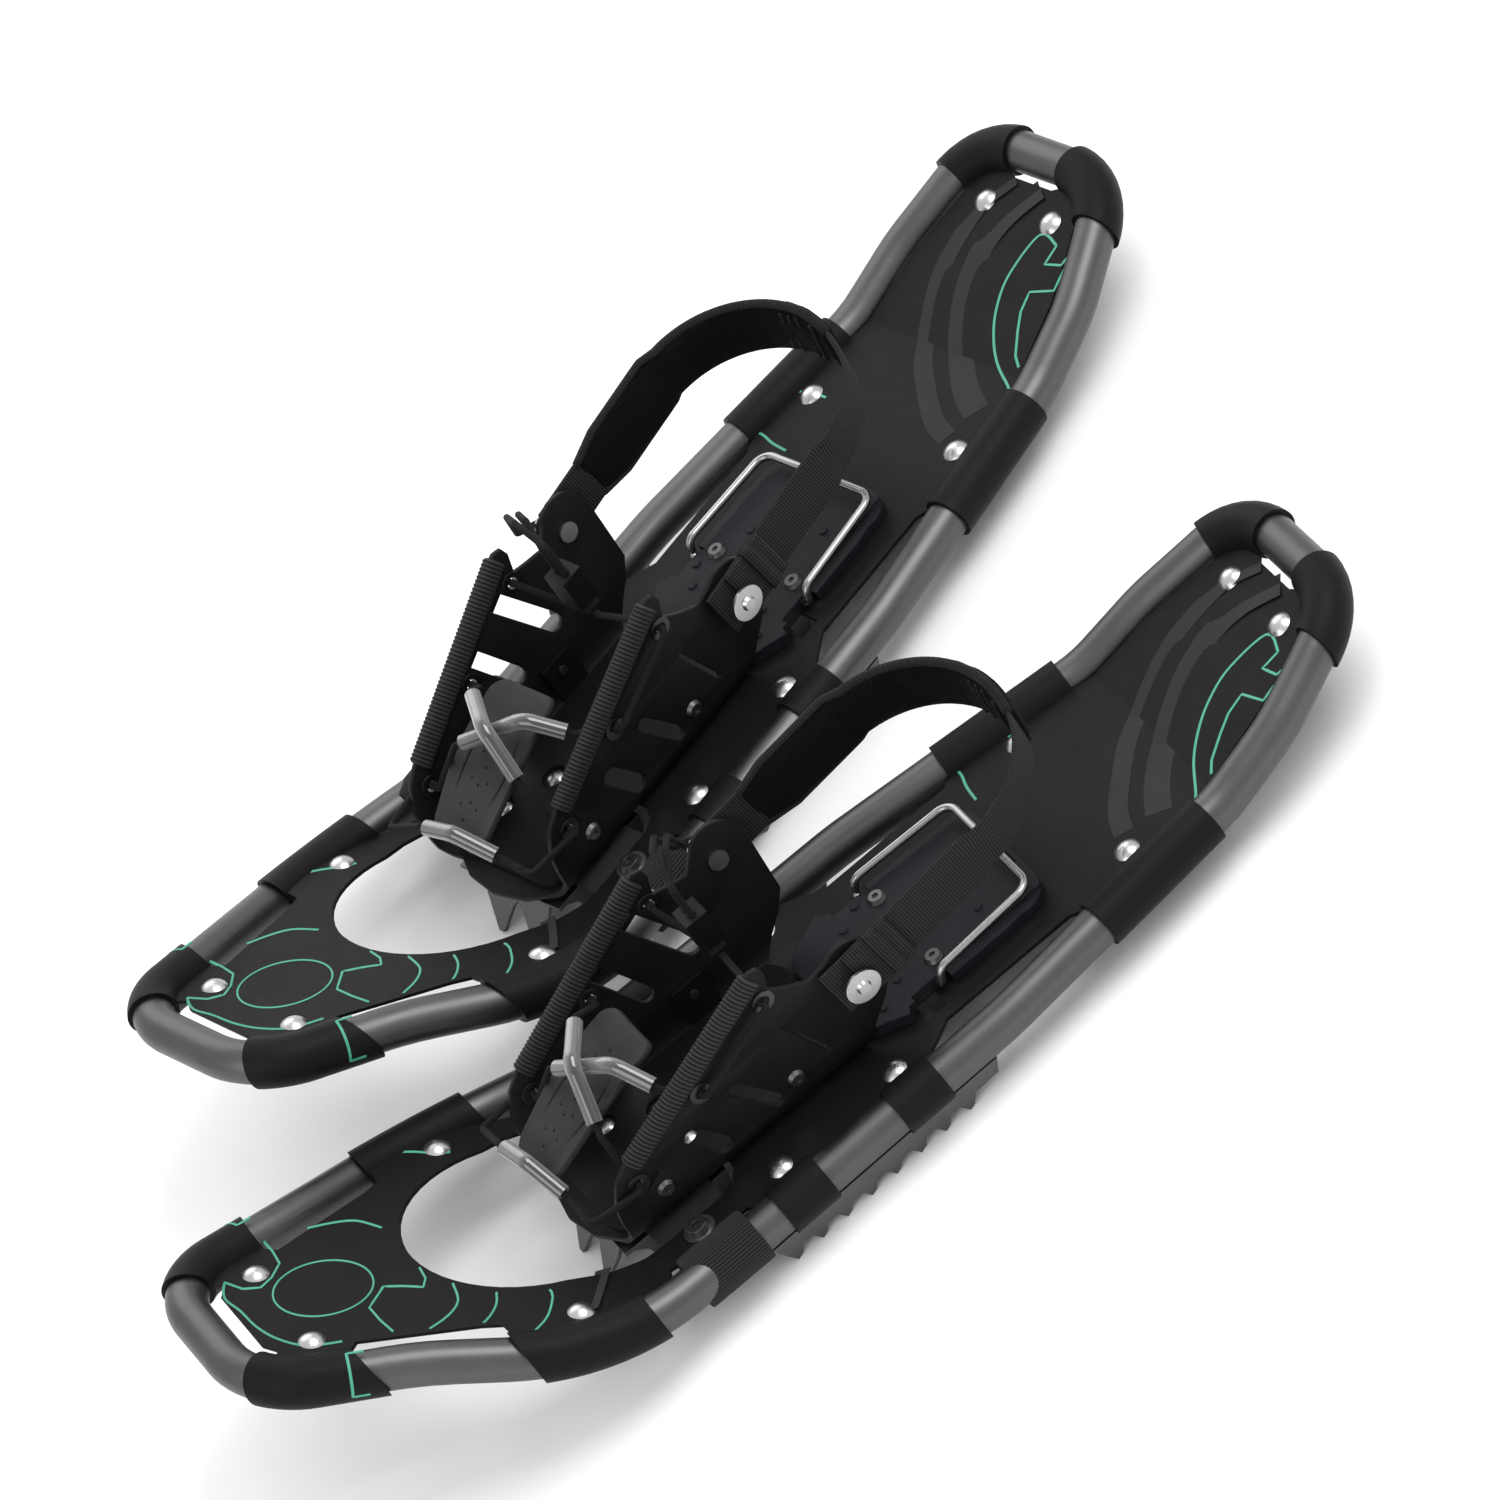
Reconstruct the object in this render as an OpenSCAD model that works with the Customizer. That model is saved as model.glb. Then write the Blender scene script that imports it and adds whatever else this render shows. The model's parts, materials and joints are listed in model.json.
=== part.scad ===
// A pair of tube-frame snowshoes with strap-pivot bindings, lying side by side.
// Each shoe is drawn once in its own frame: +X to the nose, +Y to the wearer's left,
// z = 0 on the deck's top face, origin midway between the middle pair of deck rivets.

/* [Pair] */
// Angle that each shoe is turned from straight ahead, so that the noses come together
splay = 7.9; // [0:0.1:8]
// Distance from the pair's centre to each shoe, across
pair_y = 107.5; // [107:0.5:160]
// How far the left shoe lies ahead of the pair's centre
pair_x = 46; // [0:1:60]
// Height of the deck's top face above the ground
deck_h = 27; // [27:1:27]

/* [Frame] */
// Outside diameter of the frame tube
tube_d = 18; // [16:0.5:19]
// Wall of the frame tube
tube_wall = 1.4; // [1:0.1:2]

/* [Deck] */
// Thickness of the deck sheet
deck_t = 1.8; // [1.2:0.1:2.2]
// Slope of the raised front of the deck
ramp_angle = 26.7; // [24:0.1:28]
// Slope of the raised tail of the deck
tail_angle = 14.7; // [13:0.1:16]

/* [Binding] */
// Half the width between the wings at the foot plate
cradle_y = 38.4; // [37.5:0.1:39]
// Outward lean of each wing
wing_lean = 5; // [3:0.5:6]
// Thickness of the wing sheet
wing_t = 2.6; // [2:0.1:3]
// Diameter of the lace cord
cord_d = 3; // [2.5:0.1:3.2]
// Outside diameter of the clear sleeves on the lace
sleeve_d = 7; // [6:0.1:7]

/* [Heel] */
// Wire diameter of the heel lifter
bail_d = 3.6; // [3:0.1:4]
// Width of the heel strap
strap_w = 24; // [20:1:25]

/* [Hidden] */
$fn = 48;
SIDES = ["left", "right"];
PARTS = [
    "frame_tube", "frame_splice", "deck", "deck_rivets", "strap_bolts", "strap_washers",
    "strap_ends", "side_rails", "heel_plate", "heel_screws", "heel_crampon", "lifter_bail",
    "base_plate", "strap_centre", "toe_crampon", "base_rivets", "wing_l", "wing_r",
    "wing_screws", "edge_tapes", "eyelets", "toe_pad", "lace_cord", "lace_sleeves",
    "cord_lock_barrel", "cord_lock_button", "heel_strap", "strap_sleeve", "strap_rivets"
];
NODES = [for (side = SIDES) for (part = PARTS) str(side, "_", part)];
node = "all";

tube_z = -3.2;               // tube centre line against the deck's top face
wrap_gap = 0.1;              // air between the tube and a sheet wrapped round it
black = [0.07, 0.07, 0.08];
silver = [0.78, 0.78, 0.8];
steel = [0.45, 0.46, 0.48];

// ---- shared shapes ----

function unit(v) = v / norm(v);
function flipped(pts) = [for (p = pts) [p.x, -p.y, p.z]];
function reversed(list) = [for (i = [len(list) - 1:-1:0]) list[i]];
function arc(centre, r, from, to, steps) =
    [for (i = [0:steps]) centre + r * [cos(from + (to - from) * i / steps),
                                       sin(from + (to - from) * i / steps)]];

// Length from a corner to where its bend starts
function bend_reach(a, p, b, r) = r * tan(acos(unit(p - a) * unit(b - p)) / 2);

joint_step = 0.03;           // a bend is this much fatter than the straights pushed into it
joint_push = 0.15;

// Ring or disc that a tube or a cord is made from
module section(d, wall) {
    difference() {
        circle(d = d);
        if (wall > 0) circle(d = d - 2 * wall);
    }
}

module span(a, b, d, wall = 0) {
    v = b - a;
    translate(a) rotate([0, acos(v.z / norm(v)), atan2(v.y, v.x)])
        linear_extrude(norm(v)) section(d, wall);
}

module bend(a, p, b, r, d, wall = 0) {
    u = unit(p - a);
    w = unit(b - p);
    inward = unit(w - (w * u) * u);
    centre = p - u * bend_reach(a, p, b, r) + inward * r;
    x = -inward;
    z = cross(x, u);
    multmatrix([[x.x, u.x, z.x, centre.x], [x.y, u.y, z.y, centre.y],
                [x.z, u.z, z.z, centre.z], [0, 0, 0, 1]])
        rotate_extrude(angle = acos(u * w)) translate([r, 0])
            section(d + 2 * joint_step, wall > 0 ? wall + 2 * joint_step : 0);
}

// A tube along a line of corners, each rounded to its own bend radius
module bent_tube(pts, radii, d, wall = 0) {
    last = len(pts) - 1;
    reach = [for (i = [0:last]) i == 0 || i == last ? 0
             : bend_reach(pts[i - 1], pts[i], pts[i + 1], radii[i])];
    for (i = [0:last - 1]) {
        u = unit(pts[i + 1] - pts[i]);
        span(pts[i] + u * (reach[i] - (i > 0 ? joint_push : 0)),
             pts[i + 1] - u * (reach[i + 1] - (i + 1 < last ? joint_push : 0)), d, wall);
    }
    for (i = [1:last - 1]) bend(pts[i - 1], pts[i], pts[i + 1], radii[i], d, wall);
}

// Straight slot from a to b with round ends, w wide
module slot(a, b, w) {
    turn = atan2(b.y - a.y, b.x - a.x);
    polygon(concat(arc(b, w / 2, turn - 90, turn + 90, 8),
                   arc(a, w / 2, turn + 90, turn + 270, 8)));
}

module both_sides() {
    children();
    mirror([0, 1, 0]) children();
}

// Domed head above a shank, with a flat tail below
module rivet(head_r, head_h, shank_r, grip) {
    ball = (head_r * head_r + head_h * head_h) / (2 * head_h);
    rise = asin(head_r / ball);
    rotate_extrude() polygon(concat(
        [[0, -grip - 1.2], [shank_r + 1.4, -grip - 1.2], [shank_r + 1.4, -grip],
         [shank_r, -grip], [shank_r, 0]],
        arc([0, head_h - ball], ball, 90 - rise, 90, 6)));
}

// ---- frame tube ----

// Corners of the left half of the tube, nose to tail, with the bend radius of each
tube_half = [[280, 40.5, 74], [222, 59.5, 45], [160, 89, 7], [100, 76.8, tube_z],
             [-48, 73.8, tube_z], [-172, 58.6, tube_z], [-208, 55.5, 6.2], [-262, 39.5, 22.5]];
half_radii = [34, 200, 120, 90, 150, 60, 80, 32];
splice_x = 0;
splice_gap = 0.4;
function tube_y(x) = 73.8 + 3 * (x + 48) / 148;    // along the straight middle of the tube
splice_at = [splice_x, -tube_y(splice_x), tube_z];
tube_path = concat([splice_at + [splice_gap / 2, 0, 0]],
                   reversed([for (i = [0:3]) flipped(tube_half)[i]]), tube_half,
                   reversed([for (i = [4:7]) flipped(tube_half)[i]]),
                   [splice_at - [splice_gap / 2, 0, 0]]);
tube_radii = concat([0], reversed([for (i = [0:3]) half_radii[i]]), half_radii,
                    reversed([for (i = [4:7]) half_radii[i]]), [0]);

function half_corner(i) = i < 0 ? flipped(tube_half)[0]
                        : i > 7 ? flipped(tube_half)[7] : tube_half[i];

// The bend of the left half at corner i, and the straight from corner i to the next
module tube_bend(i, d) {
    bend(half_corner(i - 1), half_corner(i), half_corner(i + 1), half_radii[i], d);
}

module tube_straight(i, d) {
    u = unit(tube_half[i + 1] - tube_half[i]);
    reach = [for (j = [i, i + 1])
             bend_reach(half_corner(j - 1), half_corner(j), half_corner(j + 1), half_radii[j])];
    span(tube_half[i] + u * (reach[0] - joint_push),
         tube_half[i + 1] - u * (reach[1] - joint_push), d);
}

module frame_tube() {
    color(silver) bent_tube(tube_path, tube_radii, tube_d, tube_wall);
}

module frame_splice() {
    along = unit(half_corner(3) - half_corner(4));
    half = 20 * [along.x, -along.y, 0];
    color(silver) span(splice_at - half, splice_at + half, tube_d - 2 * tube_wall - 0.2, 1.5);
}

// ---- deck ----

ramp_x = 124.7;              // where the front of the deck leaves the flat
kick_x = -172;               // where the tail of the deck leaves the flat
function ramp_z(x) = x > ramp_x ? (x - ramp_x) * tan(ramp_angle)
                   : x < kick_x ? (kick_x - x) * tan(tail_angle) : 0;

// Rivet places on the left: x, y and pitch
tab_rivets = [[249, 26.7, ramp_angle], [159, 66.7, ramp_angle], [60, 58.4, 0], [0, 58.4, 0],
              [-130, 47, 0], [-237, 20.8, -tail_angle]];
mid_tabs = [2, 3];
bolt_at = [101, 56.5];

// Outline of the left half of the sheet. It reaches the tube's centre line only at its tabs
deck_half = [[266, 0], [266, 19], [262, 26], [272, 37], [266, 44], [243, 51], [241, 42],
             [236, 37], [194, 54], [187, 58], [186, 76], [160, 86], [138, 84], [137, 72],
             [122, 67], [121, 64], [81, 64], [80, 66], [72, 66.5], [72, 76], [49, 75.8],
             [49, 65.5], [11, 65.5], [11, 75], [-12, 74.4], [-14, 65], [-30, 54.5], [-94, 54.5],
             [-99, 57], [-100, 67], [-162, 59], [-163, 50], [-172, 48.5], [-206, 44.5],
             [-238, 35], [-244, 43], [-256, 36], [-261, 22], [-253, 18], [-250, 12], [-250, 0]];
// Plan shapes of the left tabs, past the outside of the tube
tab_plans = [[[258, 25], [290, 44], [276, 70], [238, 76], [240, 40]],
             [[187, 50], [189, 100], [138, 105], [136, 60]],
             [[49, 62], [49, 95], [72, 95], [72, 62]],
             [[-12, 62], [-12, 95], [11, 95], [11, 62]],
             [[-99, 50], [-103, 85], [-164, 75], [-161, 44]],
             [[-238, 30], [-246, 72], [-290, 66], [-290, 21], [-248, 16]]];

// The stretch of tube under tab i
module tab_core(i, d) {
    if (i == 0) {
        tube_bend(0, d);
        tube_straight(0, d);
    }
    if (i == 1) tube_bend(2, d);
    if (i == 2 || i == 3) tube_straight(3, d);
    if (i == 4) tube_straight(4, d);
    if (i == 5) {
        tube_straight(6, d);
        tube_bend(7, d);
    }
}

module deck_profile() {
    nose_x = 285;
    tail_x = -285;
    polygon(concat(
        [[tail_x, ramp_z(tail_x)], [kick_x, 0], [ramp_x - 12, 0], [ramp_x, 1.4],
         [ramp_x + 12, ramp_z(ramp_x + 12)], [nose_x, ramp_z(nose_x)]],
        [[nose_x, ramp_z(nose_x) - deck_t], [ramp_x + 12, ramp_z(ramp_x + 12) - deck_t],
         [ramp_x, 1.4 - deck_t], [ramp_x - 12, -deck_t], [kick_x, -deck_t],
         [tail_x, ramp_z(tail_x) - deck_t]]));
}

module deck_plan() {
    difference() {
        polygon(concat(deck_half, [for (p = reversed(deck_half)) [p.x, -p.y]]));
        toe_hole();
        heel_hole();
    }
}

// Round front, square back: the toe crampon swings down through it
module toe_hole() {
    hole_y = 50;
    polygon(concat([[74, -hole_y], [136, -hole_y - 8]],
                   arc([146, -5], 50.5, -90, 80, 24), [[142, hole_y - 1], [128, hole_y],
                   [84, hole_y - 1], [78, hole_y - 4], [74, hole_y - 10]]));
}

// Lets the heel crampon through, with a notch each side for the lifter's ends
module heel_hole() {
    translate([-66, -18]) square([46, 42]);
    for (y = [-38, 36]) translate([-34, y]) square([10, 12]);
}

module at_rivet(r) {
    translate([r[0], r[1], ramp_z(r[0])]) rotate([0, -r[2], 0]) children();
}

// Underside end of a tab, coming back from the tube to its rivet
module tab_tail(r) {
    translate([r[0] - 10, r[1] - 7, -deck_t - 1.4])
        cube([20, tube_y(r[0]) - tube_d / 2 - 1 - (r[1] - 7), 1.6]);
}

module deck() {
    color(black) difference() {
        union() {
            intersection() {
                rotate([90, 0, 0]) linear_extrude(220, center = true) deck_profile();
                translate([0, 0, -20]) linear_extrude(120) deck_plan();
            }
            both_sides() for (i = [0:len(tab_plans) - 1]) intersection() {
                tab_core(i, tube_d + 2 * wrap_gap + 2 * deck_t);
                translate([0, 0, -30]) linear_extrude(130) polygon(tab_plans[i]);
            }
            both_sides() for (i = mid_tabs) tab_tail(tab_rivets[i]);
        }
        both_sides() for (i = [0, 1, 2, 4, 5]) tab_core(i, tube_d + 2 * wrap_gap);
        both_sides() for (r = tab_rivets)
            at_rivet(r) translate([0, 0, -8]) cylinder(d = 4.2, h = 10);
        both_sides() translate([bolt_at.x, bolt_at.y, -10]) cylinder(d = 6.2, h = 20);
        for (p = heel_screw_at) translate([p.x, p.y, -10]) cylinder(d = 4.4, h = 20);
    }
}

module deck_rivets() {
    color(silver) both_sides() for (i = [0:len(tab_rivets) - 1])
        at_rivet(tab_rivets[i]) translate([0, 0, 0.05])
            rivet(5.7, 2.6, 2, i == mid_tabs[0] || i == mid_tabs[1] ? 5.2 : deck_t + 0.15);
}

// ---- toe strap and its fixings ----

pivot = [101, 0, -3.4];
band_x = 33;                 // width of the strap band
band_t = 2.6;
twist_from = 37.5;           // the strap twists between these distances from the centre
twist_to = 48;

strap_tube = [for (i = [4, 3, 2]) tube_half[i]];    // the tube inside the strap's loop

module strap_ends() {
    color(black) both_sides() difference() {
        union() {
            translate([pivot.x - band_x / 2, twist_to, pivot.z - band_t / 2])
                cube([band_x, tube_y(pivot.x) - twist_to, band_t]);
            intersection() {
                bent_tube(strap_tube, [0, 90, 0], tube_d + 2 * wrap_gap + 5);
                translate([pivot.x - band_x / 2, 40, -60]) cube([band_x, 70, 120]);
            }
        }
        bent_tube(strap_tube, [0, 90, 0], tube_d + 2 * wrap_gap);
        translate([bolt_at.x, bolt_at.y, -10]) cylinder(d = 6.2, h = 20);
    }
}

module strap_centre() {
    color(black) difference() {
        translate([pivot.x - band_x / 2, -twist_from, pivot.z - band_t / 2])
            cube([band_x, 2 * twist_from, band_t]);
        for (p = base_rivet_at) translate([p.x, p.y, -10]) cylinder(d = 4.2, h = 20);
    }
}

module strap_bolts() {
    color(steel) both_sides() translate([bolt_at.x, bolt_at.y, 0]) difference() {
        union() {
            translate([0, 0, -7.4]) cylinder(d = 6, h = 8.6);
            translate([0, 0, 1.2]) cylinder(d1 = 10.5, d2 = 8, h = 2.8);
            translate([0, 0, -7.6]) cylinder(d = 10, h = 2.6);
        }
        translate([0, 0, 2.2]) cylinder(d = 4, h = 3, $fn = 6);
    }
}

module strap_washers() {
    color(silver) both_sides() translate([bolt_at.x, bolt_at.y, 0.05]) difference() {
        cylinder(d = 14, h = 1.1);
        translate([0, 0, -1]) cylinder(d = 6.2, h = 4);
    }
}

// ---- side rails ----

rail_from = -35;
rail_to = 84;
teeth = 8;

module rail_outline() {
    top = tube_z - tube_d / 2 - wrap_gap - deck_t - 0.3;
    tip = 0.2 - deck_h;
    pitch = (rail_to - rail_from - 14) / teeth;
    profile = [for (i = [0:teeth - 1]) let (x = rail_to - 3 - i * pitch)
               each [[x, tip + 5], [x - 3, tip], [x - 6, tip + 1.5], [x - 8.5, tip + 5.5]]];
    polygon(concat([[rail_to, top]], profile, [[rail_from + 3, tip + 6], [rail_from, top]]));
}

module side_rails() {
    color(steel) both_sides() translate([0, tube_y(0) + 1, 0]) {
        rotate([90, 0, 1.2]) linear_extrude(2, center = true) rail_outline();
    }
    color(steel) both_sides() for (i = mid_tabs) rail_ear(tab_rivets[i]);
}

// Ear that runs up round the tab to its deck rivet
module rail_ear(r) {
    y = tube_y(r[0]);
    t = 1.7;
    ring = tube_d / 2 + wrap_gap + deck_t + 0.2;
    low = -3.35;
    function around(radius) = [for (a = [195, 225, 255]) [y, tube_z]
                               + radius / cos(15) * [cos(a), sin(a)]];
    difference() {
        translate([r[0] - 8, 0, 0]) rotate([90, 0, 90]) linear_extrude(16)
            polygon(concat([[r[1] - 6, low], [y - ring, low]], around(ring),
                           [[y + 1.4, tube_z - ring], [y + 1.4, tube_z - ring - t]],
                           reversed(around(ring + t)),
                           [[y - ring - t, low - t], [r[1] - 6, low - t]]));
        translate([r[0], r[1], -12]) cylinder(d = 4.3, h = 12);
    }
}

// ---- heel plate, crampon and lifter ----

heel_y = 3;                  // the heel set sits a little to the left of the centre line
heel_top = 6;
bail_pivot = [-38, heel_y, 3];
bail_y = 38;                 // half the bail's width
bail_reach = 53;             // from the pivot to the crossbar
bail_z = 11;                 // height of the stowed bail

module heel_outline() {
    polygon(concat(
        arc([-14, 24], 16, 0, 78, 6),
        [[-20, 45], [-22, 41], [-27, 41], [-30, 46], [-37, 46], [-42, 41.5], [-72, 41.5]],
        arc([-84, 29], 12, 70, 0 + 180, 5),
        arc([-84, -22], 12, 180, 290, 5),
        [[-72, -35], [-42, -35.5], [-37, -40], [-30, -40], [-27, -35], [-22, -35], [-20, -39]],
        arc([-14, -18], 16, -78, 0, 6)));
}

module heel_plate() {
    color([0.2, 0.19, 0.22]) difference() {
        union() {
            translate([0, 0, 0.2]) linear_extrude(heel_top - 0.2) heel_outline();
            for (p = [[-26, 24], [-14, 32], [-52, 8], [-65, 3], [-70, 22], [-58, -14],
                      [-34, -27], [-24, -20], [-54, 33]])
                translate([p.x, p.y, heel_top - 0.5]) cylinder(d = 4, h = 1.3);
        }
        for (y = [-1, 1]) translate([bail_pivot.x, heel_y + y * bail_y, bail_pivot.z])
            rotate([90, 0, 0]) cylinder(d = bail_d + 0.1, h = 30, center = true);
        for (p = heel_screw_at) translate([p.x, p.y, -5]) cylinder(d = 4.4, h = 20);
        translate([-94, -10, heel_top - 1.6]) cube([18, 26, 5]);
        // side pockets in which the bail's legs turn
        translate([bail_pivot.x, heel_y, 0]) both_sides() {
            translate([-5, bail_y - 3.6, -1]) cube([18, 16, 12]);
            translate([-62, bail_y - 5.6, 4.5]) cube([60, 16, 12]);
        }
    }
}

heel_screw_at = [[-43, 28], [-43, -22]];

module heel_screws() {
    color(steel) for (p = heel_screw_at) translate([p.x, p.y, 0]) difference() {
        union() {
            translate([0, 0, -3.7]) cylinder(d = 4.2, h = heel_top + 4);
            translate([0, 0, -5.2]) cylinder(d = 7, h = 1.6);
            translate([0, 0, heel_top + 0.05]) cylinder(d1 = 9, d2 = 6.4, h = 2);
        }
        translate([0, 0, heel_top + 1]) cylinder(d = 3, h = 3, $fn = 6);
    }
}

module heel_crampon() {
    color(steel) translate([0, heel_y, 0]) difference() {
        union() {
            translate([-72, -30, -3.5]) cube([58, 60, 1.6]);
            for (y = [-20, 18.4]) translate([0, y + 1.6, 0]) rotate([90, 0, 0])
                linear_extrude(1.6) polygon(concat([[-14, -2], [-72, -2]],
                    [for (i = [0:3]) each [[-72 + 14.5 * i, -14], [-67 + 14.5 * i, 0.2 - deck_h],
                                           [-62 + 14.5 * i, 0.2 - deck_h], [-58 + 14.5 * i, -14]]]));
        }
        for (p = heel_screw_at) translate([p.x, p.y - heel_y, -9]) cylinder(d = 4.4, h = 12);
    }
}

module lifter_bail() {
    x = bail_pivot.x;
    lift = [x + 1, 0, bail_z];
    inner = bail_y - 7;
    side = [[x, inner, bail_pivot.z], [x, bail_y, bail_pivot.z], [x - 3, bail_y, bail_z],
            [x - bail_reach, bail_y - 3, bail_z + 1]];
    color(silver) translate([0, heel_y, 0])
        bent_tube(concat(side, reversed(flipped(side))), [0, 3, 5, 7, 7, 5, 3, 0], bail_d);
}

// ---- foot plate and toe crampon ----

plate_z = 1.2;
plate_t = 4;
lug_x = [35.5, 104];         // the wings are screwed to a pair of lugs on each side
lug_z = 17;
wing_shift = 3.5;            // the wings stand a little ahead on the right and back on the left
base_rivet_at = [[102, 25], [102, -25], [80, 12], [80, -12]];

module base_plate() {
    color(black) difference() {
        union() {
            translate([0, 0, plate_z]) linear_extrude(plate_t) polygon(concat(
                [[8, -36], [96, -36]], arc([112, -21], 15, -90, -10, 5),
                arc([112, 21], 15, 10, 90, 5), [[96, 36], [8, 36], [4, 28], [4, -28]]));
            for (s = [-1, 1]) for (x = lug_x)
                translate([x - s * wing_shift, s * (cradle_y - 1.3), plate_z])
                    rotate([-s * wing_lean, 0, 0]) translate([-8, -1.2, 0]) cube([16, 2.4, 22]);
        }
        for (s = [-1, 1]) for (x = lug_x) on_wing(s) translate([x, lug_z, 0])
            cylinder(d = 4.3, h = 20, center = true);
        for (p = base_rivet_at) translate([p.x, p.y, 0]) {
            translate([0, 0, -10]) cylinder(d = 4.2, h = 30);
            translate([0, 0, rivet_seat]) cylinder(d = 11.4, h = 10);
        }
    }
}

rivet_seat = plate_z + plate_t - 2.6;    // the heads lie below the plate's top face

module base_rivets() {
    grip = rivet_seat - pivot.z + band_t / 2 + 2.05;
    color(silver) for (p = base_rivet_at) translate([p.x, p.y, rivet_seat + 0.05])
        rivet(5.4, 2.4, 2, grip);
}

module toe_crampon() {
    top = pivot.z - band_t / 2 - 0.1;
    t = 1.8;
    color(steel) difference() {
        union() {
            translate([76.5, -33, top - t]) cube([53.5, 66, t]);
            translate([127, 0, top - 0.4]) rotate([0, -35, 0]) rotate([0, 0, -90])
                rotate([90, 0, 0]) front_claws(t);
            for (y = [-33, 31.2]) translate([0, y + t, 0]) rotate([90, 0, 0]) linear_extrude(t)
                polygon([[76.5, top - t], [126, top - t], [121, top - t - 4], [116, 0.2 - deck_h],
                         [108, top - 10], [101, top - 8], [94, 0.2 - deck_h], [86, top - 10],
                         [78, top - 8]]);
        }
        for (p = base_rivet_at) translate([p.x, p.y, -20]) cylinder(d = 4.2, h = 30);
    }
}

// Two long claws side by side, pointing forward and down
module front_claws(t) {
    linear_extrude(t) polygon([[-24, 1], [-22, -10], [-15, -25], [-12, -25], [-5, -11], [-2, -8],
                               [1, -11], [8, -25], [11, -25], [18, -10], [20, 1]]);
}

// ---- wings ----

// Puts a wing's flat drawing (x forward, y up) upright on its side; s is 1 for the left
module on_wing(s) {
    translate([-s * wing_shift, s * cradle_y, plate_z]) rotate([90 - s * wing_lean, 0, 0])
        translate([0, -plate_z, s > 0 ? -wing_t : 0]) children();
}

// Turns z to point out of the wing's outer face
module outward(s) {
    if (s > 0) mirror([0, 0, 1]) children();
    else translate([0, 0, wing_t]) children();
}

// A point at a wing's flat drawing place e, at a distance out from its inner face
function wing_pt(s, e, out) = [
    e.x - s * wing_shift,
    s * (cradle_y + (e.y - plate_z) * sin(wing_lean) + out * cos(wing_lean)),
    plate_z + (e.y - plate_z) * cos(wing_lean) - out * sin(wing_lean)
];

// The top of the rear tab stands higher on the right, where the heel strap starts higher
function wing_outline(rise) = concat(
    [[12, 2], [124, 2], [130, 6], [127, 24], [119, 36], [112, 41], [26, 80], [21, 76],
     [24, 66], [17, 60 + rise / 4], [8, 54 + rise / 2]],
    arc([-9, 46 + rise], 13, 50, 200, 8), [[-19, 28], [-7, 14], [3, 4]]);

module wing(s, rise, cuts) {
    color(black) on_wing(s) linear_extrude(wing_t) difference() {
        polygon(wing_outline(rise));
        for (c = cuts) slot(c[0], c[1], c[2]);
        for (e = eyelet_at) translate(e) circle(d = 7.2);
        for (x = lug_x) translate([x, lug_z]) circle(d = 4.3);
        translate(s > 0 ? strap_rivet_l : strap_rivet_r) circle(d = 5.2);
    }
}

eyelet_at = [[27.5, 64], [70, 46.5], [112, 29]];
strap_rivet_l = [-7.5, 43];
strap_rivet_r = [-6, 59];

module wing_r() {
    wing(-1, 16, [[[40, 66], [24, 34], 9], [[63, 56], [51, 30], 8], [[84, 30], [76, 14], 8]]);
}

module wing_l() {
    wing(1, 0, [[[27, 44], [18, 18], 2.6], [[58, 34], [47, 14], 7], [[83, 29], [75, 14], 9],
                [[103, 27], [110, 24], 4]]);
}

module wing_screws() {
    color(steel) for (s = [-1, 1]) for (x = lug_x) on_wing(s) translate([x, lug_z, 0])
        outward(s) difference() {
            union() {
                translate([0, 0, -6.4]) cylinder(d = 4, h = 6.6);
                translate([0, 0, 0.05]) cylinder(d1 = 8.4, d2 = 6, h = 1.8);
            }
            translate([0, 0, 1]) cylinder(d = 2.6, h = 2, $fn = 6);
        }
}

// Ribbed tape folded over each lacing edge
module edge_tapes() {
    from = [112, 41];
    to = [26, 80];
    slope = atan2(to.y - from.y, to.x - from.x);
    color(black) for (s = [-1, 1]) on_wing(s) difference() {
        translate([from.x, from.y, wing_t / 2]) rotate([0, 0, slope])
            translate([1, -2.2, -2.9]) cube([norm(to - from) - 2, 7.4, 5.8]);
        translate([from.x, from.y, -0.1]) rotate([0, 0, slope])
            translate([-5, -0.4, 0]) cube([110, 8, wing_t + 0.2]);
    }
}

module eyelets() {
    color(silver) for (s = [-1, 1]) for (e = eyelet_at) on_wing(s)
        translate([e.x, e.y, wing_t / 2]) rotate_extrude()
            polygon([[2.6, -2.1], [5, -2.1], [5, -1.4], [3.5, -1.4], [3.5, 1.4], [5, 1.4],
                     [5, 2.1], [2.6, 2.1]]);
}

// ---- toe pad and lacing ----

pad_at = [104, -2, 43];
pad_tilt = 20;

module toe_pad() {
    color([0.2, 0.2, 0.21]) translate(pad_at) rotate([0, pad_tilt, 0])
        linear_extrude(3.5, center = true) difference() {
            polygon(concat(arc([22, 6], 8, 0, 75, 4), [[0, 18]], arc([-27, 10], 8, 100, 180, 4),
                           arc([-27, -10], 8, 180, 260, 4), [[0, -18]],
                           arc([22, -6], 8, 285, 360, 4)));
            for (w = [-9, 9]) slot([-16, w * 0.9], [16, w], 2);
            for (u = [-26:8:22]) translate([u, 0]) circle(d = 2.4);
            for (u = [-18:12:18]) for (w = [-4.5, 4.5]) translate([u, w]) circle(d = 2.2);
        }
}

lock_at = [22, -12];         // where the cord lock hangs
leg = 2.4;                   // each side of the lock's centre
sides_out = wing_t + 4;      // cord's distance outside a wing's inner face
sides_in = -6;
near_sleeve = [[77, 34, 50], [86, 17, 63.5], [105, -16, 54.5]];
cross_sleeve = [[108, 27, 46], [98, 6, 68], [84, -17, 66]];
front_sleeve = [[140, -13, 43.5], [137, 6, 43.5], [133, 24, 30]];

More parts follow.
